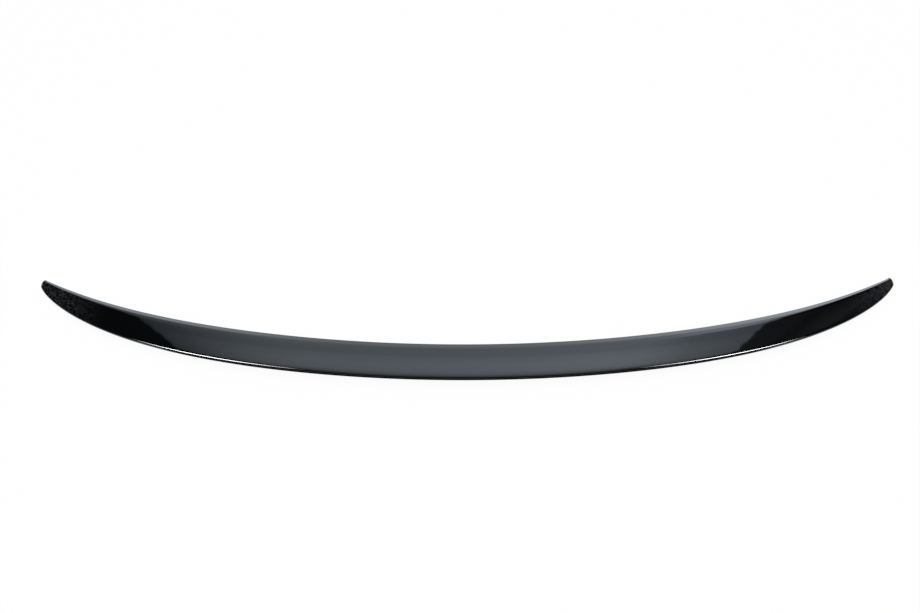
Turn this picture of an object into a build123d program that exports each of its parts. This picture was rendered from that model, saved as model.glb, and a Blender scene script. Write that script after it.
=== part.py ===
from build123d import *
import os
from math import cos, pi, radians, sin, sqrt, tan

# A one-piece car rear spoiler: a slim plastic lip, taped along the rear edge of a boot lid.
# X runs across the car, +Y points forward and +Z up. The origin lies on the centreline, in
# the middle of the flat foot rim that the part stands on.

# Driving dimensions, in millimetres and degrees.

# Plan: a crescent whose ends sweep forward and taper to blunt, round-nosed tips.
SPAN = 1200.0           # tip to tip
CHORD = 59.5            # front to rear on the centreline
BOW = 88.0              # forward sweep of the ends, as an even bow
CURL = 24.0             # what the outer stretch of each end adds to that sweep
TIP_CHORD = 5.0         # front to rear at the flat end of each tip
TAPER_POWER = 4.4       # higher keeps the full chord further out
BLUNT_POWER = 2.65      # higher makes the tips squarer
TIP_ROUND = 6.0         # length over which the nose and the top round off at each tip
TIP_NOSE = 9.0          # how far the nose takes the leading edge back at the tip
TIP_TURN = 72.0         # angle that this rounding turns through before the flat end, in degrees
TIP_END_SHARE = 0.4     # height left at the flat end, as a share of the tip's height

# Section on the centreline. Toward the tips it keeps its form, scaled to chord and height.
LIP_HEIGHT = 17.0       # top of the trailing lip above the foot rim
TIP_LIP_HEIGHT = 6.5    # the same at the tips
FALL_POWER = 4.0        # higher keeps the full height further out
LIP_OVERHANG = 7.0      # how far the lip reaches behind the heel of the foot
LIP_BAND = 2.0          # upright band along the rear of the lip
BAND_ROUND = 0.8        # rounding under that band
LIP_ROUND_DROP = 4.0    # rounding between band and face, measured down the rear
LIP_ROUND_RUN = 4.5     # the same rounding, measured forward along the face
FACE_SLOPE = 1.5        # forward fall of the face where it leaves the lip, in degrees
RAMP_RUN = 9.0          # length of the steeper ramp at the leading edge
RAMP_ANGLE = 28.0       # forward fall of that ramp, in degrees
CREASE_ROUND = 2.5      # rounding where the face turns into the ramp
TOE_HEIGHT = 1.6        # thickness of the leading edge
TOE_ROUND = 1.0         # rounding on top of it
SEAT_RISE = 5.2         # how far the lid side climbs from the foot rim to the leading edge
FOOT_RIM = 2.6          # flat rim along the heel that the part stands on

# Underside: a ribbed hollow between a solid front land and the rear wall.
SKIN = 3.0              # wall above the hollow
REAR_WALL = 4.0         # rear wall, at its foot
FRONT_LAND = 14.0       # solid land behind the leading edge, on the centreline
SOLID_TIP = 100.0       # solid stretch at each tip
RIB = 2.0               # thickness of every rib
RIB_PITCH = 50.0        # aimed spacing of the cross ribs
RAIL_GAP = 8.0          # hollow between the rear wall and the rail rib, on the centreline
TAPE_WIDTH = 8.0        # recess for the tape in the front land
TAPE_DEPTH = 0.8
TAPE_END = 80.0         # distance of the recess from each tip

# Modelling values.
SPAN_STEPS = 18         # sections from the middle to where a tip's rounding starts
PAST_MIDDLE = 2         # sections before the middle, so that the skin crosses it smoothly
TIP_STEPS = 5           # sections along a tip's rounding
UNDERSIDE_STEPS = 12    # sections from the middle to the end of an underside feature
QUARTER_ARM = 0.5523    # handle length that makes a quarter curve nearly elliptical
CLEAR = 5.0             # how far the cutting shapes reach below the part

# Sizes worked out from those above.
HALF = SPAN / 2
TIP_START = HALF - TIP_ROUND
HOLLOW_HALF = HALF - SOLID_TIP
TAPE_HALF = HALF - TAPE_END
REAR_OFFSET = LIP_OVERHANG + FOOT_RIM / 2
PLAN_REACH = (1 - ((TIP_CHORD + TIP_NOSE) / CHORD) ** BLUNT_POWER) ** (1 / TAPER_POWER)

# Corner points of the section: distance forward of the lip's rear, height above the rim.
HEEL = (LIP_OVERHANG, 0.0)
RIM_FRONT = (LIP_OVERHANG + FOOT_RIM, 0.0)
LIP_TOP = (LIP_ROUND_RUN, LIP_HEIGHT)
BAND_TOP = (0.0, LIP_HEIGHT - LIP_ROUND_DROP)
BAND_FOOT = (0.0, BAND_TOP[1] - LIP_BAND)
TOE_FOOT = (CHORD, SEAT_RISE)
TOE_TOP = (CHORD, SEAT_RISE + TOE_HEIGHT)
CREASE = (CHORD - RAMP_RUN, TOE_TOP[1] + RAMP_RUN * tan(radians(RAMP_ANGLE)))

# The face is a parabola from the lip to the start of the crease.
FACE_END = CREASE[0] - CREASE_ROUND
FACE_RUN = FACE_END - LIP_TOP[0]
FACE_BEND = (LIP_TOP[0] + FACE_RUN / 2, LIP_HEIGHT - tan(radians(FACE_SLOPE)) * FACE_RUN / 2)


def towards(start, end, distance):
    """The point that lies a distance from start on the way to end."""
    length = sqrt((end[0] - start[0]) ** 2 + (end[1] - start[1]) ** 2)
    share = distance / length
    return (start[0] + (end[0] - start[0]) * share, start[1] + (end[1] - start[1]) * share)


def tip_drop(x):
    """How much of a tip's rounding has come about at x, from 0 at its start to 1 at the end."""
    turn = radians(TIP_TURN)
    past = max(0.0, abs(x) - TIP_START) / TIP_ROUND * sin(turn)
    return (1 - sqrt(1 - past**2)) / (1 - cos(turn))


def taper(x):
    """Chord at x before the nose is rounded off, as a share of the chord on the centreline."""
    return (1 - (PLAN_REACH * abs(x) / HALF) ** TAPER_POWER) ** (1 / BLUNT_POWER)


def chord_share(x):
    """Chord at x, as a share of the chord on the centreline."""
    return taper(x) - TIP_NOSE / CHORD * tip_drop(x)


def height_share(x):
    """Height at x, as a share of the height on the centreline."""
    tip = TIP_LIP_HEIGHT / LIP_HEIGHT
    share = tip + (1 - tip) * (1 - (abs(x) / HALF) ** FALL_POWER)
    return share * (1 - (1 - TIP_END_SHARE) * tip_drop(x))


def trailing_edge(x):
    """Y of the lip's rear at x."""
    s = abs(x) / HALF
    sweep = BOW * s**2 + CURL * s**6
    return sweep + CHORD * (1 - taper(x)) - REAR_OFFSET


def place(x, point, lift=0.0):
    """A point of the centreline's section, scaled and moved to x, then lifted."""
    y = trailing_edge(x) + point[0] * chord_share(x)
    return Vector(x, y, point[1] * height_share(x) + lift)


def face_height(u):
    """Height of the face on the centreline, u forward of the lip's rear."""
    end_slope = (FACE_BEND[1] - CREASE[1]) / (CREASE[0] - FACE_BEND[0])
    start_slope = tan(radians(FACE_SLOPE))
    run = u - LIP_TOP[0]
    return LIP_HEIGHT - start_slope * run - (end_slope - start_slope) * run**2 / (2 * FACE_RUN)


def seat_height(u):
    """Height of the lid side on the centreline, u forward of the lip's rear."""
    return SEAT_RISE * (u - RIM_FRONT[0]) / (CHORD - RIM_FRONT[0])


def outer_section(x):
    """The solid outline at x, from the heel round the lip, face and toe to the seat."""
    face_end = (FACE_END, face_height(FACE_END))
    ramp_start = towards(CREASE, TOE_TOP, CREASE_ROUND)
    ramp_end = towards(TOE_TOP, CREASE, TOE_ROUND)
    toe_side = towards(TOE_TOP, TOE_FOOT, TOE_ROUND)
    wall_top = towards(BAND_FOOT, HEEL, BAND_ROUND)
    band_low = towards(BAND_FOOT, BAND_TOP, BAND_ROUND)
    lip_rise = (0.0, BAND_TOP[1] + QUARTER_ARM * LIP_ROUND_DROP)
    arm = QUARTER_ARM * LIP_ROUND_RUN
    lip_run = (LIP_ROUND_RUN - arm, LIP_HEIGHT + tan(radians(FACE_SLOPE)) * arm)

    def curve(*points):
        placed = [place(x, point) for point in points]
        return Line(*placed) if len(placed) == 2 else Bezier(*placed)

    return make_face(
        [
            curve(HEEL, wall_top),
            curve(wall_top, BAND_FOOT, band_low),
            curve(band_low, BAND_TOP),
            curve(BAND_TOP, lip_rise, lip_run, LIP_TOP),
            curve(LIP_TOP, FACE_BEND, face_end),
            curve(face_end, CREASE, ramp_start),
            curve(ramp_start, ramp_end),
            curve(ramp_end, TOE_TOP, toe_side),
            curve(toe_side, TOE_FOOT),
            curve(TOE_FOOT, RIM_FRONT),
            curve(RIM_FRONT, HEEL),
        ]
    )


def outer_stations():
    """Where the outer sections stand along X, from past the middle to the tip, where they crowd."""
    angles = [step / SPAN_STEPS * pi / 2 for step in range(-PAST_MIDDLE, SPAN_STEPS + 1)]
    turn = radians(TIP_TURN)
    rounding = [sin(step / TIP_STEPS * turn) / sin(turn) for step in range(1, TIP_STEPS + 1)]
    return [TIP_START * sin(a) for a in angles] + [TIP_START + TIP_ROUND * share for share in rounding]


def even_stations(reach):
    """Even places along X for an underside feature, from one step past the middle to its reach."""
    return [reach * step / UNDERSIDE_STEPS for step in range(-1, UNDERSIDE_STEPS + 1)]


def hollow_section(x):
    """The hollow at x: upright front and rear, and a roof one skin below the face."""
    rear = LIP_OVERHANG + REAR_WALL
    front = CHORD - FRONT_LAND
    middle = (rear + front) / 2
    bend = 2 * face_height(middle) - (face_height(rear) + face_height(front)) / 2
    roof_rear = place(x, (rear, face_height(rear)), -SKIN)
    roof_bend = place(x, (middle, bend), -SKIN)
    roof_front = place(x, (front, face_height(front)), -SKIN)
    low_rear = place(x, (rear, 0.0), -CLEAR)
    low_front = place(x, (front, 0.0), -CLEAR)
    return make_face(
        [
            Line(low_rear, roof_rear),
            Bezier(roof_rear, roof_bend, roof_front),
            Line(roof_front, low_front),
            Line(low_front, low_rear),
        ]
    )


def strip_section(x, middle, width, top, lift):
    """A strip of one width at x, from below the part to a height above the line top(u)."""
    rear = middle - width / 2 / chord_share(x)
    front = middle + width / 2 / chord_share(x)
    low_rear = place(x, (rear, 0.0), -CLEAR)
    low_front = place(x, (front, 0.0), -CLEAR)
    top_front = place(x, (front, top(front)), lift)
    top_rear = place(x, (rear, top(rear)), lift)
    return make_face(Polyline(low_rear, low_front, top_front, top_rear, close=True).edges())


def pockets():
    """The hollow, divided by the cross ribs and by the rail rib that runs along the rear."""
    hollow = loft([hollow_section(x) for x in even_stations(HOLLOW_HALF)])
    bays = max(1, round(HOLLOW_HALF / RIB_PITCH))
    pitch = HOLLOW_HALF / bays
    size = hollow.bounding_box().size
    centre = hollow.bounding_box().center()
    plate = Box(RIB, size.Y + CLEAR, size.Z + CLEAR)
    cross_ribs = [Pos(pitch * bay, centre.Y, centre.Z) * plate for bay in range(bays)]
    rail_line = LIP_OVERHANG + REAR_WALL + RAIL_GAP + RIB / 2
    rail_stations = even_stations(HOLLOW_HALF + RIB)
    rail = loft([strip_section(x, rail_line, RIB, face_height, 0.0) for x in rail_stations])
    return hollow - cross_ribs - rail


def tape_recess():
    """A shallow recess along the middle of the front land, for the foam tape."""
    line = CHORD - FRONT_LAND / 2
    stations = even_stations(TAPE_HALF)
    return loft([strip_section(x, line, TAPE_WIDTH, seat_height, TAPE_DEPTH) for x in stations])


def make_spoiler():
    """Half of the moulding, cut off square at the middle, joined to its mirror image."""
    skin = loft([outer_section(x) for x in outer_stations()])
    half = split(skin, bisect_by=Plane.YZ, keep=Keep.TOP)
    half = half - pockets() - tape_recess()
    return half + mirror(half, about=Plane.YZ)


os.makedirs("parts", exist_ok=True)
spoiler = make_spoiler()
spoiler.label = "spoiler"
export_step(spoiler, "parts/spoiler.step")
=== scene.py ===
# %% [markdown]
# # A gloss black rear spoiler
#
# The object is a stick-on boot-lid lip: one crescent of black plastic, polished like glass on
# the outside and left as moulded underneath. This lesson loads the engineering model as a
# frame, models the skin again with clean quads so that reflections run smoothly along it,
# gives both finishes their materials, and lights it as for a product photograph.

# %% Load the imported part
from math import atan2, cos, degrees, pi, radians, sin, sqrt, tan

import bpy
from mathutils import Matrix, Vector


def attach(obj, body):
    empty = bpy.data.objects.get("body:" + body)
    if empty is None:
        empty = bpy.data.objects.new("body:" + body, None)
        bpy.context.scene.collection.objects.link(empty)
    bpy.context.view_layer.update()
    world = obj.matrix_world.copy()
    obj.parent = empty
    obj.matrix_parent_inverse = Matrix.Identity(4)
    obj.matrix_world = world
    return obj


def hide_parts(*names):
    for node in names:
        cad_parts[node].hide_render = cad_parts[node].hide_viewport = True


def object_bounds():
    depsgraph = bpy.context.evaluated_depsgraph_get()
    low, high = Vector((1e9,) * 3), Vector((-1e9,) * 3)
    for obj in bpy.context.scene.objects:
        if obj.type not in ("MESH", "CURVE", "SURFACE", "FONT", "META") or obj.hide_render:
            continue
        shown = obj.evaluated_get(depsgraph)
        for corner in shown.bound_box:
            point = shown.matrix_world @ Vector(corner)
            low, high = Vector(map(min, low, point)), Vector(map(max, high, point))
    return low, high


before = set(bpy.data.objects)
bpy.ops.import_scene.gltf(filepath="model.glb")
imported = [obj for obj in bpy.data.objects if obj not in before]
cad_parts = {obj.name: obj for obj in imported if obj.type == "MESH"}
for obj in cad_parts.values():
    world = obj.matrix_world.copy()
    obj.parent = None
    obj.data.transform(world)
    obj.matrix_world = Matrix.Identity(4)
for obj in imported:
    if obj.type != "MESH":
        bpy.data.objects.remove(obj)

cad_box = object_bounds()
print("CAD box in metres:", [[round(v, 4) for v in corner] for corner in cad_box])

# %% [markdown]
# ## The sizes of the spoiler
#
# Seen from above the lip is a crescent: its ends sweep forward, and its chord narrows to blunt,
# round-nosed tips. Every cross-section has the same form, only narrower and lower toward the
# tips. The sizes here are those of the engineering drawing, in millimetres, so the two models
# agree. They could be measured off the frame's mesh, but a drawing's sizes can be read and
# changed. Only the span is taken from the frame itself.

# %% Sizes in millimetres
MM = 0.001              # a millimetre in Blender's metres
SPAN = (cad_box[1][0] - cad_box[0][0]) / MM
HALF = SPAN / 2
CHORD = 59.5            # front to back, in the middle
BOW = 88.0              # how far the ends sweep forward
CURL = 24.0             # how much further they do so close to the tips
CURL_POWER = 6          # how late along the span that starts
TIP_CHORD = 5.0
TAPER_POWER = 4.4       # how late the chord narrows
BLUNT_POWER = 2.65      # how blunt the ends are, seen from above
TIP_ROUND = 6.0         # length of the rounding at each tip
TIP_NOSE = 9.0          # chord that the rounding takes off
TIP_TURN = radians(72.0)
TIP_END_SHARE = 0.4     # share of the height that is left at the very end
LIP_HEIGHT = 17.0
TIP_LIP_HEIGHT = 6.5
FALL_POWER = 4.0        # how late the height falls
LIP_OVERHANG = 7.0
LIP_BAND = 2.0          # upright band below the lip's rounding
BAND_ROUND = 0.8
LIP_ROUND_DROP = 4.0
LIP_ROUND_RUN = 4.5
FACE_SLOPE = radians(1.5)
RAMP_RUN = 9.0
RAMP_ANGLE = radians(28.0)
CREASE_ROUND = 2.5
TOE_HEIGHT = 1.6
TOE_ROUND = 1.0
SEAT_RISE = 5.2
FOOT_RIM = 2.6

print("span", round(SPAN, 1), "mm, chord", CHORD, "mm, lip", LIP_HEIGHT, "mm high")

# %% How the section changes along the span
REAR_OFFSET = LIP_OVERHANG + FOOT_RIM / 2
TIP_START = HALF - TIP_ROUND
PLAN_REACH = (1 - ((TIP_CHORD + TIP_NOSE) / CHORD) ** BLUNT_POWER) ** (1 / TAPER_POWER)


def tip_drop(x):
    """How much of a tip's rounding has come about at x, from 0 at its start to 1 at the end."""
    past = max(0.0, abs(x) - TIP_START) / TIP_ROUND * sin(TIP_TURN)
    return (1 - sqrt(1 - past**2)) / (1 - cos(TIP_TURN))


def taper(x):
    """Chord at x before the nose is rounded off, as a share of the chord in the middle."""
    return (1 - (PLAN_REACH * abs(x) / HALF) ** TAPER_POWER) ** (1 / BLUNT_POWER)


def chord_share(x):
    """Chord at x, as a share of the chord in the middle."""
    return taper(x) - TIP_NOSE / CHORD * tip_drop(x)


def height_share(x):
    """Height at x, as a share of the height in the middle."""
    tip = TIP_LIP_HEIGHT / LIP_HEIGHT
    share = tip + (1 - tip) * (1 - (abs(x) / HALF) ** FALL_POWER)
    return share * (1 - (1 - TIP_END_SHARE) * tip_drop(x))


def trailing_edge(x):
    """Y of the lip's rear at x."""
    s = abs(x) / HALF
    return BOW * s**2 + CURL * s**CURL_POWER + CHORD * (1 - taper(x)) - REAR_OFFSET


print("tips:", round(CHORD * chord_share(HALF), 1), "mm of chord are left")

# %% [markdown]
# ## The cross-section, drawn as a curve
#
# A designer draws this section first: an undercut rear wall, a narrow upright band, the rounded
# lip, a gently crowned face, a soft crease, a steeper ramp down to a thin toe, and the flat seat
# back to the foot. A polygon with bevelled corners would do, but a Bezier curve holds each
# rounding exactly, so the section is drawn as one closed curve and then made a ring of vertices.

# %% Corners of the section
HEEL = (LIP_OVERHANG, 0.0)
RIM_FRONT = (LIP_OVERHANG + FOOT_RIM, 0.0)
LIP_TOP = (LIP_ROUND_RUN, LIP_HEIGHT)
BAND_TOP = (0.0, LIP_HEIGHT - LIP_ROUND_DROP)
BAND_FOOT = (0.0, BAND_TOP[1] - LIP_BAND)
TOE_FOOT = (CHORD, SEAT_RISE)
TOE_TOP = (CHORD, SEAT_RISE + TOE_HEIGHT)
CREASE = (CHORD - RAMP_RUN, TOE_TOP[1] + RAMP_RUN * tan(RAMP_ANGLE))
FACE_FRONT = CREASE[0] - CREASE_ROUND
FACE_RUN = FACE_FRONT - LIP_ROUND_RUN
FACE_BEND = (LIP_ROUND_RUN + FACE_RUN / 2, LIP_HEIGHT - tan(FACE_SLOPE) * FACE_RUN / 2)


def part_way(start, end, share):
    """The point at a share of the way from start to end."""
    return (start[0] + (end[0] - start[0]) * share, start[1] + (end[1] - start[1]) * share)


def towards(start, end, distance):
    """The point that lies a distance from start on the way to end."""
    length = sqrt((end[0] - start[0]) ** 2 + (end[1] - start[1]) ** 2)
    return part_way(start, end, distance / length)


def face_height(u):
    """Height of the face in the middle, u forward of the lip's rear."""
    lip_slope = tan(FACE_SLOPE)
    end_slope = (FACE_BEND[1] - CREASE[1]) / (CREASE[0] - FACE_BEND[0])
    run = u - LIP_ROUND_RUN
    return LIP_HEIGHT - lip_slope * run - (end_slope - lip_slope) * run**2 / (2 * FACE_RUN)


wall_top = towards(BAND_FOOT, HEEL, BAND_ROUND)
band_low = towards(BAND_FOOT, BAND_TOP, BAND_ROUND)
face_end = (FACE_FRONT, face_height(FACE_FRONT))
ramp_start = towards(CREASE, TOE_TOP, CREASE_ROUND)
ramp_end = towards(TOE_TOP, CREASE, TOE_ROUND)
toe_side = towards(TOE_TOP, TOE_FOOT, TOE_ROUND)
print("crease", round(CREASE[1], 2), "mm up, toe", round(TOE_TOP[1], 2), "mm up")

# %% Stretches of the section
QUARTER_ARM = 0.5523    # handle length that makes a quarter curve nearly elliptical


def straight(start, end):
    """A straight stretch: its start, its two handles and its end."""
    return (start, part_way(start, end, 1 / 3), part_way(start, end, 2 / 3), end)


def bent(start, corner, end):
    """A rounded stretch that leaves and arrives on the way to a corner."""
    return (start, part_way(start, corner, 2 / 3), part_way(end, corner, 2 / 3), end)


lip_arm = QUARTER_ARM * LIP_ROUND_RUN
lip_rise = (0.0, BAND_TOP[1] + QUARTER_ARM * LIP_ROUND_DROP)
lip_run = (LIP_ROUND_RUN - lip_arm, LIP_HEIGHT + tan(FACE_SLOPE) * lip_arm)
stretches = [
    straight(HEEL, wall_top),
    bent(wall_top, BAND_FOOT, band_low),
    straight(band_low, BAND_TOP),
    (BAND_TOP, lip_rise, lip_run, LIP_TOP),
    bent(LIP_TOP, FACE_BEND, face_end),
    bent(face_end, CREASE, ramp_start),
    straight(ramp_start, ramp_end),
    bent(ramp_end, TOE_TOP, toe_side),
    straight(toe_side, TOE_FOOT),
    straight(TOE_FOOT, RIM_FRONT),
    straight(RIM_FRONT, HEEL),
]
print("section:", len(stretches), "stretches")

# %% Draw the section
POINTS_PER_STRETCH = 16


def in_middle(point):
    """A point of the section, in metres, on the centreline."""
    return Vector((0.0, (point[0] - REAR_OFFSET) * MM, point[1] * MM))


bpy.ops.object.select_all(action="DESELECT")
bpy.ops.curve.primitive_bezier_curve_add()
body = bpy.context.object
body.name = "spoiler_body"
spline = body.data.splines[0]
spline.bezier_points.add(len(stretches) - len(spline.bezier_points))
spline.use_cyclic_u = True
body.data.resolution_u = POINTS_PER_STRETCH
for number, (start, leaving, arriving, end) in enumerate(stretches):
    here = spline.bezier_points[number]
    there = spline.bezier_points[(number + 1) % len(stretches)]
    for knot in (here, there):
        knot.handle_left_type = "FREE"
        knot.handle_right_type = "FREE"
    here.co = in_middle(start)
    here.handle_right = in_middle(leaving)
    there.handle_left = in_middle(arriving)
bpy.ops.object.convert(target="MESH")
print("section ring:", len(body.data.vertices), "points")

# %% [markdown]
# ## The skin, extruded along the span
#
# The mould maker's loft becomes a run of extrusions: the ring is extruded to the next station,
# then resized to that station's chord and height. A sweep with a taper curve could not scale
# chord and height apart. The stations crowd toward the tip, where the outline turns fastest.
# One half is made, its end is closed, and a mirror makes the other half.

# %% Extrude the ring to the tip
SPAN_STEPS = 72
TIP_STEPS = 8

stations = [TIP_START * sin(step / SPAN_STEPS * pi / 2) for step in range(SPAN_STEPS + 1)]
for step in range(1, TIP_STEPS + 1):
    stations.append(TIP_START + TIP_ROUND * (sin(step / TIP_STEPS * TIP_TURN) / sin(TIP_TURN)))
bpy.ops.object.mode_set(mode="EDIT")
bpy.ops.mesh.select_mode(type="VERT")
bpy.ops.mesh.select_all(action="SELECT")
for here, there in zip(stations, stations[1:]):
    move = ((there - here) * MM, (trailing_edge(there) - trailing_edge(here)) * MM, 0.0)
    narrower = chord_share(there) / chord_share(here)
    lower = height_share(there) / height_share(here)
    bpy.ops.mesh.extrude_region_move(TRANSFORM_OT_translate={"value": move})
    bpy.ops.transform.resize(
        value=(1.0, narrower, lower),
        center_override=(there * MM, trailing_edge(there) * MM, 0.0),
    )
bpy.ops.mesh.edge_face_add()
bpy.ops.object.mode_set(mode="OBJECT")
print("half of the skin:", len(stations), "stations")

# %% Mirror the half
MERGE_GAP = 0.01        # mm

bpy.ops.object.modifier_add(type="MIRROR")
body.modifiers[-1].merge_threshold = MERGE_GAP * MM
bpy.ops.object.modifier_apply(modifier=body.modifiers[-1].name)
bpy.ops.object.mode_set(mode="EDIT")
bpy.ops.mesh.select_all(action="SELECT")
bpy.ops.mesh.normals_make_consistent(inside=False)
bpy.ops.object.mode_set(mode="OBJECT")
print("skin:", len(body.data.polygons), "faces")

# %% [markdown]
# ## The gloss of the outside
#
# The skin is gloss black ABS: the plastic is black all through, and the polished mould leaves it
# like dark glass, so nearly all that the eye sees on it is reflection. A clear coat over a matt
# base would do as well, but the real part has no lacquer, and one plain shader gives the same
# gloss. What makes it real is what bends the edges of its reflections: a trace of orange peel,
# and the long waves that a moulding keeps as it cools.

# %% Helpers for materials
BLACK_PLASTIC = "#08090b"


def srgb(code):
    """Linear colour of an sRGB hex value."""
    parts = [int(code[place:place + 2], 16) / 255 for place in (1, 3, 5)]
    linear = [v / 12.92 if v <= 0.04045 else ((v + 0.055) / 1.055) ** 2.4 for v in parts]
    return (*linear, 1.0)


def add_node(tree, kind, inputs=None, **settings):
    """Add a node, make its settings, and set or link each input that is given."""
    node = tree.nodes.new(kind)
    for name, value in settings.items():
        setattr(node, name, value)
    for name, value in (inputs or {}).items():
        if isinstance(value, bpy.types.NodeSocket):
            tree.links.new(value, node.inputs[name])
        else:
            node.inputs[name].default_value = value
    return node


def new_material(name):
    """A material with nothing but its output, and its node tree."""
    material = bpy.data.materials.new(name)
    material.use_nodes = True
    material.node_tree.nodes.clear()
    return material, material.node_tree


print("black plastic in linear light:", [round(v, 4) for v in srgb(BLACK_PLASTIC)])

# %% Gloss black ABS, moulded against a polished tool
# It gives the eye clean dark reflections, with edges that waver a little.
ABS_IOR = 1.53
PEEL_SIZE = 5.0         # mm between the crests of the orange peel
PEEL_HEIGHT = 0.001     # mm
WAVE_SIZE = 15.0        # mm between the long waves that cooling leaves in a moulded face
WAVE_HEIGHT = 0.036     # mm

gloss, tree = new_material("gloss_black_ABS")
place = add_node(tree, "ShaderNodeTexCoord").outputs["Object"]
peel = add_node(
    tree, "ShaderNodeTexNoise",
    {"Vector": place, "Scale": 1 / (PEEL_SIZE * MM), "Detail": 1.0},
)
wave = add_node(
    tree, "ShaderNodeTexNoise",
    {"Vector": place, "Scale": 1 / (WAVE_SIZE * MM), "Detail": 0.0},
)
waves = add_node(
    tree, "ShaderNodeBump",
    {"Height": wave.outputs["Fac"], "Distance": WAVE_HEIGHT * MM, "Strength": 1.0},
)
bump = add_node(
    tree, "ShaderNodeBump",
    {
        "Height": peel.outputs["Fac"],
        "Distance": PEEL_HEIGHT * MM,
        "Strength": 1.0,
        "Normal": waves.outputs["Normal"],
    },
)
print("finish:", gloss.name)

# %% [markdown]
# ## Dust and wipe marks
#
# The ends are where hands hold the part: specks and a film of dust gather there, and on the
# right a cloth has left faint streaks. Modelled specks would be thousands of tiny pieces, so the
# marks are patterns in the gloss itself, which make it paler and duller.

# %% Where the marks lie
DUST_MIDDLE = 0.012     # m; the marks reach further in on the left than on the right
DUST_START = 0.51       # m from that middle, where the marks begin
DUST_FULL = 0.59        # m from it, where they are strongest

side = add_node(tree, "ShaderNodeSeparateXYZ", {0: place}).outputs["X"]
off = add_node(
    tree, "ShaderNodeMath", {0: side, 1: DUST_MIDDLE}, operation="SUBTRACT",
).outputs[0]
out = add_node(tree, "ShaderNodeMath", {0: off}, operation="ABSOLUTE").outputs[0]
near_tip = add_node(
    tree, "ShaderNodeMapRange",
    {"Value": out, "From Min": DUST_START, "From Max": DUST_FULL},
    interpolation_type="SMOOTHSTEP",
).outputs["Result"]
print("marks from", DUST_START, "m out")

# %% Specks and a film of dust
SPECK_PITCH = 4.0       # mm between specks
SPECK_REACH = 0.20      # radius of a speck, as a share of that pitch
SPECK_RARITY = 3.0      # the higher, the fewer specks are bright
FILM_SIZE = 4.0         # mm across a patch of the film
FILM_BARE = 0.40        # level of the noise up to which there is no film
FILM_THICK = 0.75       # level at which it is thickest
FILM_MOST = 0.24        # how much it covers there

cells = add_node(
    tree, "ShaderNodeTexVoronoi", {"Vector": place, "Scale": 1 / (SPECK_PITCH * MM)},
)
speck = add_node(
    tree, "ShaderNodeMapRange",
    {"Value": cells.outputs["Distance"], "From Min": SPECK_REACH, "From Max": SPECK_REACH / 2},
).outputs["Result"]
chance = add_node(tree, "ShaderNodeSeparateColor", {0: cells.outputs["Color"]}).outputs["Red"]
chance = add_node(
    tree, "ShaderNodeMath", {0: chance, 1: SPECK_RARITY}, operation="POWER",
).outputs[0]
speck = add_node(tree, "ShaderNodeMath", {0: speck, 1: chance}, operation="MULTIPLY").outputs[0]
patches = add_node(
    tree, "ShaderNodeTexNoise",
    {"Vector": place, "Scale": 1 / (FILM_SIZE * MM), "Detail": 4.0},
)
film = add_node(
    tree, "ShaderNodeMapRange",
    {
        "Value": patches.outputs["Fac"],
        "From Min": FILM_BARE,
        "From Max": FILM_THICK,
        "To Max": FILM_MOST,
    },
).outputs["Result"]
print("specks about", SPECK_PITCH, "mm apart")

# %% Streaks of a cloth on the right
STREAK_SIZE = 2.0       # mm across a streak; a cloth's are finer, drawn coarse enough to show
STREAK_LENGTH = 5.0     # how many times longer than wide a streak is
STREAK_TURN = radians(-35.0)
STREAK_BARE = 0.50      # level of the noise up to which the gloss is clean
STREAK_THICK = 0.75     # level at which a streak is clearest
STREAK_MOST = 0.12      # how much it covers there

along = add_node(
    tree, "ShaderNodeMapping",
    {"Vector": place, "Rotation": (0.0, 0.0, STREAK_TURN), "Scale": (STREAK_LENGTH, 1.0, 1.0)},
)
wiped = add_node(
    tree, "ShaderNodeTexNoise",
    {
        "Vector": along.outputs[0],
        "Scale": 1 / (STREAK_SIZE * STREAK_LENGTH * MM),
        "Detail": 2.0,
    },
)
streak = add_node(
    tree, "ShaderNodeMapRange",
    {
        "Value": wiped.outputs["Fac"],
        "From Min": STREAK_BARE,
        "From Max": STREAK_THICK,
        "To Max": STREAK_MOST,
    },
).outputs["Result"]
right_end = add_node(
    tree, "ShaderNodeMath", {0: side, 1: 0.0}, operation="GREATER_THAN",
).outputs[0]
streak = add_node(
    tree, "ShaderNodeMath", {0: streak, 1: right_end}, operation="MULTIPLY",
).outputs[0]
print("streaks", STREAK_SIZE, "mm wide")

# %% The marks laid on the gloss
DUST_GREY = "#63666b"
CLEAN_ROUGHNESS = 0.03
DUSTY_ROUGHNESS = 0.30

marks = add_node(tree, "ShaderNodeMath", {0: speck, 1: streak}, operation="MAXIMUM").outputs[0]
marks = add_node(
    tree, "ShaderNodeMath", {0: marks, 1: film}, operation="ADD", use_clamp=True,
).outputs[0]
marks = add_node(
    tree, "ShaderNodeMath", {0: marks, 1: near_tip}, operation="MULTIPLY",
).outputs[0]
tint = add_node(
    tree, "ShaderNodeMix",
    {"Factor": marks, "A": srgb(BLACK_PLASTIC), "B": srgb(DUST_GREY)},
    data_type="RGBA",
)
dullness = add_node(
    tree, "ShaderNodeMapRange",
    {"Value": marks, "To Min": CLEAN_ROUGHNESS, "To Max": DUSTY_ROUGHNESS},
)
shine = add_node(
    tree, "ShaderNodeBsdfPrincipled",
    {
        "Base Color": tint.outputs["Result"],
        "Roughness": dullness.outputs["Result"],
        "IOR": ABS_IOR,
        "Normal": bump.outputs["Normal"],
    },
)
add_node(tree, "ShaderNodeOutputMaterial", {"Surface": shine.outputs["BSDF"]})
print("gloss:", len(tree.nodes), "nodes")

# %% [markdown]
# ## The satin of the underside
#
# The underside never shows on the car, so its half of the mould is only spark-eroded, which
# leaves a satin grain in the same plastic. One material with a mask for its roughness would do
# for both sides, but two plain materials are easier to read.

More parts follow.
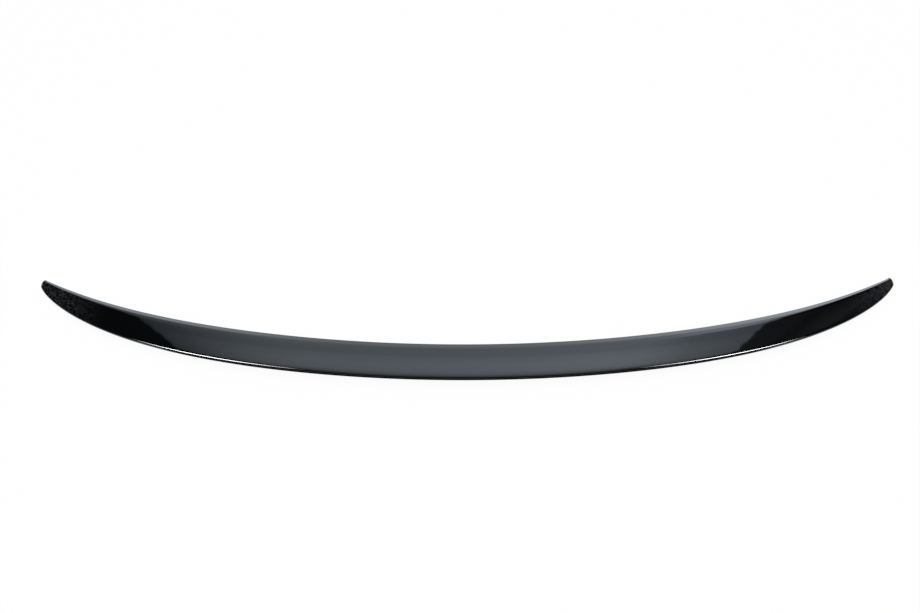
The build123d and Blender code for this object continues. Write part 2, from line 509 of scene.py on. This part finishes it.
# %% Satin black ABS, as it leaves the eroded half of the mould
# It gives the eye a soft grey sheen with a fine grain.
SATIN_BLACK = "#17181a"
GRAIN_SIZE = 0.6        # mm
GRAIN_HEIGHT = 0.02     # mm
GRAIN_STRENGTH = 0.6
SATIN_SMOOTHEST = 0.42  # roughness in the hollows of the grain
SATIN_ROUGHEST = 0.58   # and on its crests

satin, tree = new_material("satin_black_ABS")
place = add_node(tree, "ShaderNodeTexCoord").outputs["Object"]
grain = add_node(
    tree, "ShaderNodeTexNoise",
    {"Vector": place, "Scale": 1 / (GRAIN_SIZE * MM), "Detail": 3.0},
)
bump = add_node(
    tree, "ShaderNodeBump",
    {
        "Height": grain.outputs["Fac"],
        "Distance": GRAIN_HEIGHT * MM,
        "Strength": GRAIN_STRENGTH,
    },
)
dullness = add_node(
    tree, "ShaderNodeMapRange",
    {"Value": grain.outputs["Fac"], "To Min": SATIN_SMOOTHEST, "To Max": SATIN_ROUGHEST},
)
sheen = add_node(
    tree, "ShaderNodeBsdfPrincipled",
    {
        "Base Color": srgb(SATIN_BLACK),
        "Roughness": dullness.outputs["Result"],
        "IOR": ABS_IOR,
        "Normal": bump.outputs["Normal"],
    },
)
add_node(tree, "ShaderNodeOutputMaterial", {"Surface": sheen.outputs["BSDF"]})
print("finish:", satin.name)

# %% [markdown]
# ## The ribbed underside
#
# Underneath, such a moulding is hollow between a solid front land and the rear wall, with cross
# ribs and one long rail rib, and the front land has a shallow recess for the foam tape. Insets
# and extrusions could sink the pockets, but they would tie the skin's even faces to the ribs.
# So each pocket is modelled as the plug of steel that forms it: a cube with a few cuts, copied,
# bent to the crescent and bevelled. One boolean then takes all the plugs out of the skin, and
# the cut faces take the plugs' satin finish with them. The many-sided faces that the cut leaves
# between the ribs are parted into triangles, so that the mesh stays closed when it is exported.

# %% Lines and levels of the underside
SKIN = 3.0              # over the pockets
REAR_WALL = 4.0
FRONT_LAND = 14.0       # solid strip along the toe
SOLID_TIP = 100.0       # solid length at each end
RIB = 2.0
RIB_PITCH = 50.0
RAIL_GAP = 8.0          # from the rear wall to the rail rib
TAPE_WIDTH = 8.0
TAPE_DEPTH = 0.8
TAPE_END = 80.0         # from the end of the recess to the tip
HOLLOW_HALF = HALF - SOLID_TIP
RAIL_LINE = LIP_OVERHANG + REAR_WALL + RAIL_GAP + RIB / 2
TAPE_LINE = CHORD - FRONT_LAND / 2


def seat_height(u):
    """Height of the lid side in the middle, u forward of the lip's rear."""
    return SEAT_RISE * (u - RIM_FRONT[0]) / (CHORD - RIM_FRONT[0])


def along_lip(u, offset=0.0):
    """Y at any x of the line that lies u forward of the lip's rear in the middle, then offset."""
    return lambda x: trailing_edge(x) + u * chord_share(x) + offset


def skin_underside(x, y):
    """Height of the pockets' roof at a place."""
    return face_height((y - trailing_edge(x)) / chord_share(x)) * height_share(x) - SKIN


def recess_floor(x, y):
    """Height of the tape recess at a place."""
    return seat_height((y - trailing_edge(x)) / chord_share(x)) * height_share(x) + TAPE_DEPTH


hollow_rear = along_lip(LIP_OVERHANG + REAR_WALL)
rail_rear = along_lip(RAIL_LINE, -RIB / 2)
rail_front = along_lip(RAIL_LINE, RIB / 2)
hollow_front = along_lip(CHORD - FRONT_LAND)
tape_rear = along_lip(TAPE_LINE, -TAPE_WIDTH / 2)
tape_front = along_lip(TAPE_LINE, TAPE_WIDTH / 2)
print("roof of the middle pocket:", round(skin_underside(0, 0), 2), "mm up")

# %% Two blocks of steel, cut to length
POCKET_CUTS = (5, 4)    # cuts along and across the block for the pockets
RECESS_CUTS = (119, 1)  # and those for the long tape recess
FULL_LENGTH = 0.99      # edges of a unit cube longer than this are whole ones


def cut_edges(block, axis, cuts):
    """Subdivide the full edges of a unit cube that run along one axis."""
    bpy.ops.object.mode_set(mode="EDIT")
    bpy.ops.mesh.select_mode(type="EDGE")
    bpy.ops.mesh.select_all(action="DESELECT")
    bpy.ops.object.mode_set(mode="OBJECT")
    corners = block.data.vertices
    for edge in block.data.edges:
        start, end = edge.vertices
        edge.select = abs(corners[end].co[axis] - corners[start].co[axis]) > FULL_LENGTH
    bpy.ops.object.mode_set(mode="EDIT")
    bpy.ops.mesh.subdivide(number_cuts=cuts)
    bpy.ops.object.mode_set(mode="OBJECT")


def make_block(cuts):
    """A unit cube of satin finish with even cuts along X and Y."""
    bpy.ops.object.select_all(action="DESELECT")
    bpy.ops.mesh.primitive_cube_add(size=1.0)
    block = bpy.context.object
    block.data.materials.append(satin)
    for axis, number in enumerate(cuts):
        cut_edges(block, axis, number)
    return block


pocket_block = make_block(POCKET_CUTS)
recess_block = make_block(RECESS_CUTS)
print("blocks:", len(pocket_block.data.polygons), "and", len(recess_block.data.polygons), "faces")

# %% Bend a copy of a block for each pocket and for the recess
PLUG_FOOT = -5.0        # mm, so that the plugs stick out below the part


def bend_copy(block, x_from, x_to, rear, front, top):
    """A copy of a block, bent to fill from rear(x) to front(x), up to the height top(x, y)."""
    bpy.ops.object.select_all(action="DESELECT")
    block.select_set(True)
    bpy.context.view_layer.objects.active = block
    bpy.ops.object.duplicate()
    plug = bpy.context.object
    for vertex in plug.data.vertices:
        along, across, up = (value + 0.5 for value in vertex.co)
        x = x_from + (x_to - x_from) * along
        y = rear(x) + (front(x) - rear(x)) * across
        z = PLUG_FOOT + (top(x, y) - PLUG_FOOT) * up
        vertex.co = (x * MM, y * MM, z * MM)
    return plug


bays = round(HOLLOW_HALF / RIB_PITCH)
pitch = HOLLOW_HALF / bays
plugs = []
for bay in range(-bays, bays):
    x_from = pitch * bay + (RIB / 2 if bay > -bays else 0.0)
    x_to = pitch * (bay + 1) - (RIB / 2 if bay < bays - 1 else 0.0)
    plugs.append(bend_copy(pocket_block, x_from, x_to, hollow_rear, rail_rear, skin_underside))
    plugs.append(bend_copy(pocket_block, x_from, x_to, rail_front, hollow_front, skin_underside))
tape_half = HALF - TAPE_END
plugs.append(bend_copy(recess_block, -tape_half, tape_half, tape_rear, tape_front, recess_floor))
for block in (pocket_block, recess_block):
    bpy.data.objects.remove(block)
print("plugs:", len(plugs))

# %% Join and bevel the plugs
PLUG_ROUND = 0.6        # mm
PLUG_FACETS = 2         # strips of faces that make up a rounding
PLUG_CORNER = radians(50)       # edges that turn more than this are rounded

bpy.ops.object.select_all(action="DESELECT")
for plug in plugs:
    plug.select_set(True)
bpy.context.view_layer.objects.active = plugs[0]
bpy.ops.object.join()
all_plugs = bpy.context.object
bpy.ops.object.mode_set(mode="EDIT")
bpy.ops.mesh.select_mode(type="EDGE")
bpy.ops.mesh.select_all(action="DESELECT")
bpy.ops.mesh.edges_select_sharp(sharpness=PLUG_CORNER)
bpy.ops.mesh.bevel(offset=PLUG_ROUND * MM, segments=PLUG_FACETS, affect="EDGES")
bpy.ops.mesh.select_all(action="SELECT")
bpy.ops.mesh.normals_make_consistent(inside=False)
bpy.ops.object.mode_set(mode="OBJECT")
print("bevelled plugs:", len(all_plugs.data.polygons), "faces")

# %% Cut the plugs out of the skin
bpy.ops.object.select_all(action="DESELECT")
body.select_set(True)
bpy.context.view_layer.objects.active = body
body.data.materials.append(gloss)
bpy.ops.object.modifier_add(type="BOOLEAN")
cut = body.modifiers[-1]
cut.operation = "DIFFERENCE"
cut.solver = "EXACT"
cut.material_mode = "TRANSFER"
cut.object = all_plugs
bpy.ops.object.modifier_apply(modifier=cut.name)
bpy.data.objects.remove(all_plugs)
bpy.ops.object.mode_set(mode="EDIT")
bpy.ops.mesh.select_mode(type="FACE")
bpy.ops.mesh.select_all(action="DESELECT")
bpy.ops.mesh.select_face_by_sides(number=4, type="GREATER")
bpy.ops.mesh.quads_convert_to_tris(ngon_method="BEAUTY")
bpy.ops.object.mode_set(mode="OBJECT")
print("after the cut:", len(body.data.polygons), "faces,", [m.name for m in body.data.materials])

# %% [markdown]
# ## Seat faces and shading
#
# The gloss stops at the edge of the lid side, where the mould's two halves meet. That border
# could be painted with a mask, but the faces already end there, so those that look straight
# down are picked by their normals and given the satin finish. Shading is smooth where faces
# meet at a small angle, so the lip and the crease reflect without facets, and sharp at the
# parting line.

# %% Give the seat its finish and shade the piece
DOWNWARD = -0.9         # Z of the normals of the faces on the lid side, at most
SHARP_ANGLE = radians(32)       # edges that turn more than this stay sharp

bpy.ops.object.mode_set(mode="EDIT")
bpy.ops.mesh.select_mode(type="FACE")
bpy.ops.mesh.select_all(action="DESELECT")
bpy.ops.object.mode_set(mode="OBJECT")
for face in body.data.polygons:
    face.select = face.normal.z < DOWNWARD
body.active_material_index = body.data.materials.find(satin.name)
bpy.ops.object.mode_set(mode="EDIT")
bpy.ops.object.material_slot_assign()
bpy.ops.mesh.select_all(action="DESELECT")
bpy.ops.object.mode_set(mode="OBJECT")
bpy.ops.object.shade_smooth_by_angle(angle=SHARP_ANGLE)
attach(body, "root")
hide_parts("spoiler")
counts = [sum(face.material_index == slot for face in body.data.polygons) for slot in range(2)]
print("faces in gloss and satin:", counts)

# %% [markdown]
# ## The white floor and the black canopy
#
# Gloss black shows only what surrounds it, so the studio is built for its reflections, as a
# photographer of glossy things would build it. The white floor shines by itself, as an
# overexposed sweep of paper does, and keeps a light shadow. More lamps could make it white too,
# but they would wash out the part. A black canopy overhead keeps the ends of the part dark.

# %% A white surround
WHITE = "#ffffff"
SKY_LIGHT = 0.5         # what the white surround gives matt surfaces; the fill gives the rest


def seen_or_mirrored(tree):
    """1 on a ray from the eye or through gloss or glass, and 0 on a ray that gathers light."""
    ray = add_node(tree, "ShaderNodeLightPath").outputs
    eye_or_gloss = add_node(
        tree, "ShaderNodeMath",
        {0: ray["Is Camera Ray"], 1: ray["Is Glossy Ray"]},
        operation="MAXIMUM",
    ).outputs[0]
    return add_node(
        tree, "ShaderNodeMath",
        {0: eye_or_gloss, 1: ray["Is Transmission Ray"]},
        operation="MAXIMUM",
    ).outputs[0]


world = bpy.data.worlds.new("white_surround")
bpy.context.scene.world = world
world.use_nodes = True
tree = world.node_tree
level = add_node(
    tree, "ShaderNodeMapRange",
    {"Value": seen_or_mirrored(tree), "To Min": SKY_LIGHT, "To Max": 1.0},
)
sky = tree.nodes["Background"]
tree.links.new(level.outputs["Result"], sky.inputs["Strength"])
sky.inputs["Color"].default_value = srgb(WHITE)
print("surround:", world.name)

# %% White paper, overexposed
# It gives the eye plain white with a light shadow, and is clear when seen from below.
PAPER_WHITE = "#fcfcfc"
FLOOR_NEAR = 0.9        # m from the middle, where the paper starts to fade into plain white
FLOOR_FAR = 2.2         # m from it, where it is plain white
FLOOR_GLOW = 0.93       # share of the near paper that is plain white; the rest keeps the shadow

white_paper, tree = new_material("white_paper")
place = add_node(tree, "ShaderNodeTexCoord").outputs["Object"]
away = add_node(tree, "ShaderNodeVectorMath", {0: place}, operation="LENGTH").outputs["Value"]
white = add_node(
    tree, "ShaderNodeMapRange",
    {"Value": away, "From Min": FLOOR_NEAR, "From Max": FLOOR_FAR, "To Min": FLOOR_GLOW},
).outputs["Result"]
glow_share = add_node(
    tree, "ShaderNodeMath", {0: seen_or_mirrored(tree), 1: white}, operation="MULTIPLY",
).outputs[0]
paper = add_node(tree, "ShaderNodeBsdfDiffuse", {"Color": srgb(PAPER_WHITE)})
glow = add_node(tree, "ShaderNodeEmission", {"Color": srgb(WHITE), "Strength": 1.0})
top_side = add_node(
    tree, "ShaderNodeMixShader",
    {0: glow_share, 1: paper.outputs[0], 2: glow.outputs[0]},
)
clear = add_node(tree, "ShaderNodeBsdfTransparent")
from_below = add_node(tree, "ShaderNodeNewGeometry").outputs["Backfacing"]
both = add_node(
    tree, "ShaderNodeMixShader",
    {0: from_below, 1: top_side.outputs[0], 2: clear.outputs[0]},
)
add_node(tree, "ShaderNodeOutputMaterial", {"Surface": both.outputs[0]})
print("finish:", white_paper.name)

# %% The floor
FLOOR_SIZE = 40.0       # m
LYING = (0, 0, 0)       # turn of a card that lies flat


def mirrored_only(thing):
    """Make a studio piece show in reflections alone: no picture of its own, light or shadow."""
    thing.visible_camera = False
    thing.visible_diffuse = False
    thing.visible_shadow = False


def add_card(name, width, height, location, rotation, material):
    """A flat studio card at its place, with that place in its mesh."""
    bpy.ops.object.select_all(action="DESELECT")
    bpy.ops.mesh.primitive_plane_add(size=1.0, location=location, rotation=rotation)
    card = bpy.context.object
    card.name = name
    card.scale = (width, height, 1.0)
    bpy.ops.object.transform_apply()
    card.data.materials.append(material)
    mirrored_only(card)
    return card


floor = add_card("floor", FLOOR_SIZE, FLOOR_SIZE, (0, 0, 0), LYING, white_paper)
floor.visible_camera = True
print("floor", FLOOR_SIZE, "m")

# %% A canopy of black cloth
# It gives the eye almost nothing, as black velvet does.
CANOPY_HEIGHT = 2.6     # m
CANOPY_SIZE = 100.0     # m
CANOPY_GLOW = 0.004     # where 1 is plain white

black_cloth, tree = new_material("black_cloth")
cloth = add_node(
    tree, "ShaderNodeEmission", {"Color": srgb(WHITE), "Strength": CANOPY_GLOW},
)
add_node(tree, "ShaderNodeOutputMaterial", {"Surface": cloth.outputs[0]})
add_card("canopy", CANOPY_SIZE, CANOPY_SIZE, (0, 0, CANOPY_HEIGHT), LYING, black_cloth)
print("canopy", CANOPY_HEIGHT, "m up")

# %% [markdown]
# ## The cloths in front
#
# In front of the part stands a wall of white cloth, brighter in its low band, which the ramp
# shows. From the wall's top another cloth arches back overhead, which the face shows. Plain
# white cards would give flat patches of grey, so the cloths glow unevenly, as lit cloth does:
# each has stops of brightness from left to right, and the arch also from its foot to its end.

# %% Stops of brightness, first those of the low band
LOW_LIGHT = [           # x in m, and the light there, where 1 is plain white
    (-0.72, 0.0), (-0.70, 2.2), (-0.58, 2.9), (-0.47, 2.4), (-0.36, 1.9), (-0.25, 1.45),
    (0.12, 1.45), (0.31, 2.2), (0.42, 2.7), (0.53, 3.5), (0.66, 4.5), (0.70, 4.5), (0.72, 0.0),
]


def add_profile(tree, measure, stops):
    """A value that follows stops, (measure, level) in order, as a share of their highest level."""
    top = max(level for _, level in stops)
    first, last = stops[0][0], stops[-1][0]
    share = add_node(
        tree, "ShaderNodeMapRange", {"Value": measure, "From Min": first, "From Max": last},
    )
    ramp = add_node(tree, "ShaderNodeValToRGB", {"Fac": share.outputs["Result"]})
    elements = ramp.color_ramp.elements
    for number, (at, level) in enumerate(stops):
        place = (at - first) / (last - first)
        element = elements[number] if number in (0, 1) else elements.new(place)
        element.position = place
        element.color = (level / top, level / top, level / top, 1.0)
    return ramp.outputs["Color"], top


print("low band:", len(LOW_LIGHT), "stops from", LOW_LIGHT[0][0], "to", LOW_LIGHT[-1][0], "m")

# %% White cotton, lit unevenly
# It gives the eye a soft patch of light that is brighter in some places than in others.
LOW_COLOUR = "#edf4fd"  # older cloth, less blue


def glowing(name, colour, across, up=None, spread=None):
    """A cloth that glows by stops over x in metres and, if given, over the angle up in degrees.

    The spread is two such angles, and how many times wider the stops over x lie at the second.
    """
    material, tree = new_material(name)
    place = add_node(tree, "ShaderNodeTexCoord").outputs["Object"]
    axes = add_node(tree, "ShaderNodeSeparateXYZ", {0: place}).outputs
    angle = add_node(
        tree, "ShaderNodeMath", {0: axes["Z"], 1: axes["Y"]}, operation="ARCTAN2",
    ).outputs[0]
    side = axes["X"]
    if spread:
        low, high, wider = spread
        inwards = add_node(
            tree, "ShaderNodeMapRange",
            {
                "Value": angle,
                "From Min": radians(low),
                "From Max": radians(high),
                "To Min": 1.0,
                "To Max": 1 / wider,
            },
        ).outputs["Result"]
        side = add_node(
            tree, "ShaderNodeMath", {0: side, 1: inwards}, operation="MULTIPLY",
        ).outputs[0]
    level, strength = add_profile(tree, side, across)
    if up:
        rise, most = add_profile(tree, angle, [(radians(at), share) for at, share in up])
        level = add_node(
            tree, "ShaderNodeMath", {0: level, 1: rise}, operation="MULTIPLY",
        ).outputs[0]
        strength = strength * most
    amount = add_node(tree, "ShaderNodeMath", {0: level, 1: strength}, operation="MULTIPLY")
    light = add_node(
        tree, "ShaderNodeEmission", {"Color": srgb(colour), "Strength": amount.outputs[0]},
    )
    add_node(tree, "ShaderNodeOutputMaterial", {"Surface": light.outputs[0]})
    return material


low_cloth = glowing("low_wall_cloth", LOW_COLOUR, LOW_LIGHT)
print("finish:", low_cloth.name)

# %% The wall in front, in a low band and a tall one
CLOTH_COLOUR = "#e5f2ff"
CLOTH_WIDTH = 3.0       # m
WALL_PLACE = 1.41       # m in front
LOW_TOP = 0.30          # m
TALL_TOP = 1.08         # m
TALL_LIGHT = [
    (-0.68, 0.0), (-0.64, 0.8), (-0.48, 1.1), (-0.36, 1.6), (-0.12, 1.6), (0.0, 1.7),
    (0.33, 1.95), (0.40, 2.2), (0.49, 2.75), (0.585, 2.6), (0.632, 0.0),
]
TALL_SPREAD = (12, 36, 1.07)    # two angles up, and the widening from the one to the other
UPRIGHT = (radians(90), 0, 0)   # turn of a card that stands

tall_height = TALL_TOP - LOW_TOP
low_place = (0, WALL_PLACE, LOW_TOP / 2)
tall_place = (0, WALL_PLACE, LOW_TOP + tall_height / 2)
tall_cloth = glowing("tall_wall_cloth", CLOTH_COLOUR, TALL_LIGHT, spread=TALL_SPREAD)
add_card("low_wall", CLOTH_WIDTH, LOW_TOP, low_place, UPRIGHT, low_cloth)
add_card("tall_wall", CLOTH_WIDTH, tall_height, tall_place, UPRIGHT, tall_cloth)
print("wall", TALL_TOP, "m high")

# %% The cloth that arches from the wall's top to overhead
ARCH_RADIUS = 1.80      # m
ARCH_SIDES = 180
ARCH_SPREAD = (40, 60, 1.05)
ARCH_ACROSS = [
    (-0.71, 0.0), (-0.695, 0.55), (-0.64, 0.75), (-0.57, 1.15), (-0.47, 1.65), (-0.36, 2.0),
    (0.0, 2.35), (0.31, 2.7), (0.40, 2.55), (0.50, 1.8), (0.60, 1.4), (0.65, 1.2),
    (0.655, 0.12), (0.74, 0.10), (0.78, 0.05), (0.85, 0.12), (0.92, 0.17), (0.97, 0.06),
    (1.40, 0.06),
]
ARCH_UP = [             # angle up, and the share of the light there
    (34, 0.74), (42, 0.74), (44.5, 0.88), (50, 1.0), (55, 0.98), (57, 0.80), (76, 0.58),
    (104, 0.42), (122, 0.33), (140, 0.06), (150, 0.0),
]

arch_cloth = glowing("arch_cloth", CLOTH_COLOUR, ARCH_ACROSS, ARCH_UP, ARCH_SPREAD)
bpy.ops.object.select_all(action="DESELECT")
bpy.ops.mesh.primitive_cylinder_add(
    vertices=ARCH_SIDES,
    radius=ARCH_RADIUS,
    depth=CLOTH_WIDTH,
    end_fill_type="NOTHING",
    rotation=(0, radians(90), 0),
)
arch = bpy.context.object
arch.name = "arch"
bpy.ops.object.transform_apply()
for face in arch.data.polygons:
    rise = degrees(atan2(face.center.z, face.center.y))
    face.select = not ARCH_UP[0][0] < rise < ARCH_UP[-1][0]
bpy.ops.object.mode_set(mode="EDIT")
bpy.ops.mesh.delete(type="FACE")
bpy.ops.object.mode_set(mode="OBJECT")
arch.data.materials.append(arch_cloth)
mirrored_only(arch)
print("arch:", len(arch.data.polygons), "faces")

# %% [markdown]
# ## The lamps and the flag behind
#
# The bright line along the lip is the reflection of two lamps behind the part. A bare bulb would
# give a point, so each is a card whose light fades to its sides. They hang high, so that the
# face mirrors them little when the part is seen from low in front. Below the bright line runs a
# dark one, which is painted shade: the floor right behind the lip lies in its shadow, and a black
# flag that lies there, seen only in reflections, stands in for that shaded floor in the lip's
# band.

# %% Two lamp cards
LAMP_BEHIND = -0.80     # m
LAMP_REACH = 0.48       # m from the middle of a lamp to where its light has faded
LAMP_LIGHT = 88.0       # where 1 is plain white
LAMP_FADE = [(-1.0, 0.0), (-0.3, 1.0), (0.3, 1.0), (1.0, 0.0)]     # share of reach, of light
LAMPS = {               # x, foot and top, in m
    "lamp_left": (-1.05, 1.05, 1.58),
    "lamp_right": (1.09, 1.06, 1.58),
}

for name, (middle, foot, top) in LAMPS.items():
    fade = [(middle + LAMP_REACH * share, LAMP_LIGHT * level) for share, level in LAMP_FADE]
    lamp_cloth = glowing(name + "_cloth", WHITE, fade)
    stand = (middle, LAMP_BEHIND, (foot + top) / 2)
    add_card(name, 2 * LAMP_REACH, top - foot, stand, UPRIGHT, lamp_cloth)
print("lamp cards:", list(LAMPS))

# %% A black flag on the floor behind the lip, as painted shade that the lip's band reflects
FLAG_HALF = 420.0       # mm to each side of the middle
FLAG_NEAR = 1.0         # mm behind the lip
FLAG_FAR = 80.0
FLAG_LIFT = 0.3
FLAG_STEPS = 60

# Painted shade: the flag stands in for the shaded floor behind the lip and draws the dark line
# under the lip's highlight.
bpy.ops.object.select_all(action="DESELECT")
bpy.ops.mesh.primitive_grid_add(x_subdivisions=FLAG_STEPS, y_subdivisions=1, size=1.0)
flag = bpy.context.object
flag.name = "painted_shade_flag"
for vertex in flag.data.vertices:
    x = vertex.co.x * 2 * FLAG_HALF
    behind = FLAG_NEAR + (FLAG_FAR - FLAG_NEAR) * (0.5 - vertex.co.y)
    vertex.co = (x * MM, (trailing_edge(x) - behind) * MM, FLAG_LIFT * MM)
flag.data.materials.append(black_cloth)
mirrored_only(flag)
print("flag", FLAG_FAR, "mm deep")

# %% [markdown]
# ## The fill
#
# The cloths and cards show in the gloss but light nothing. The satin underside and the shadow
# need light of their own. The white surround could give all of it, but it would leave hardly any
# shadow. So a large soft lamp overhead adds the rest, up to a level at which a colour renders
# about as it is written, and it is kept out of the reflections.

# %% Soft light from overhead
FILL_POWER = 55.0       # W
FILL_SIZE = 4.0         # m
FILL_HEIGHT = 2.5       # m

bpy.ops.object.light_add(type="AREA", location=(0, 0, FILL_HEIGHT))
fill = bpy.context.object
fill.name = "overhead_fill"
fill.data.size = FILL_SIZE
fill.data.energy = FILL_POWER
fill.visible_camera = False
fill.visible_glossy = False
print("fill", FILL_POWER, "W")

# %% [markdown]
# ## The camera
#
# The photograph looks at the lip from behind the car and well above it, from a fair distance,
# so the crescent opens upward in the picture with hardly any perspective. A constraint could
# aim the camera, but would leave no roll. So it stands on a line that rises from a point near
# the middle of the part, and is rolled by a trace, as a hand-held one is.

# %% Place the camera
AIM = Vector((-0.0104, 0.1165, 0.0))    # m
ELEVATION = radians(58.0)
DISTANCE = 2.419        # m
ROLL = radians(-0.157)
IMAGE_WIDTH = 920       # pixels
FOCAL_LENGTH = 1730.0   # in the same pixels
SENSOR_WIDTH = 36.0     # mm

back = Vector((0.0, -cos(ELEVATION), sin(ELEVATION)))
level_right = Vector((1.0, 0.0, 0.0))
level_up = back.cross(level_right)
right = level_right * cos(ROLL) + level_up * sin(ROLL)
up = back.cross(right)
bpy.ops.object.camera_add(location=AIM + back * DISTANCE)
camera = bpy.context.object
camera.name = "camera"
camera.rotation_euler = Matrix((right, up, back)).transposed().to_euler()
camera.data.sensor_width = SENSOR_WIDTH
camera.data.lens = FOCAL_LENGTH / IMAGE_WIDTH * SENSOR_WIDTH
bpy.context.scene.camera = camera
bpy.context.scene.view_settings.view_transform = "Standard"
print("camera", round(DISTANCE, 2), "m away, lens", round(camera.data.lens, 1), "mm")

# %% Update the scene
bpy.context.view_layer.update()
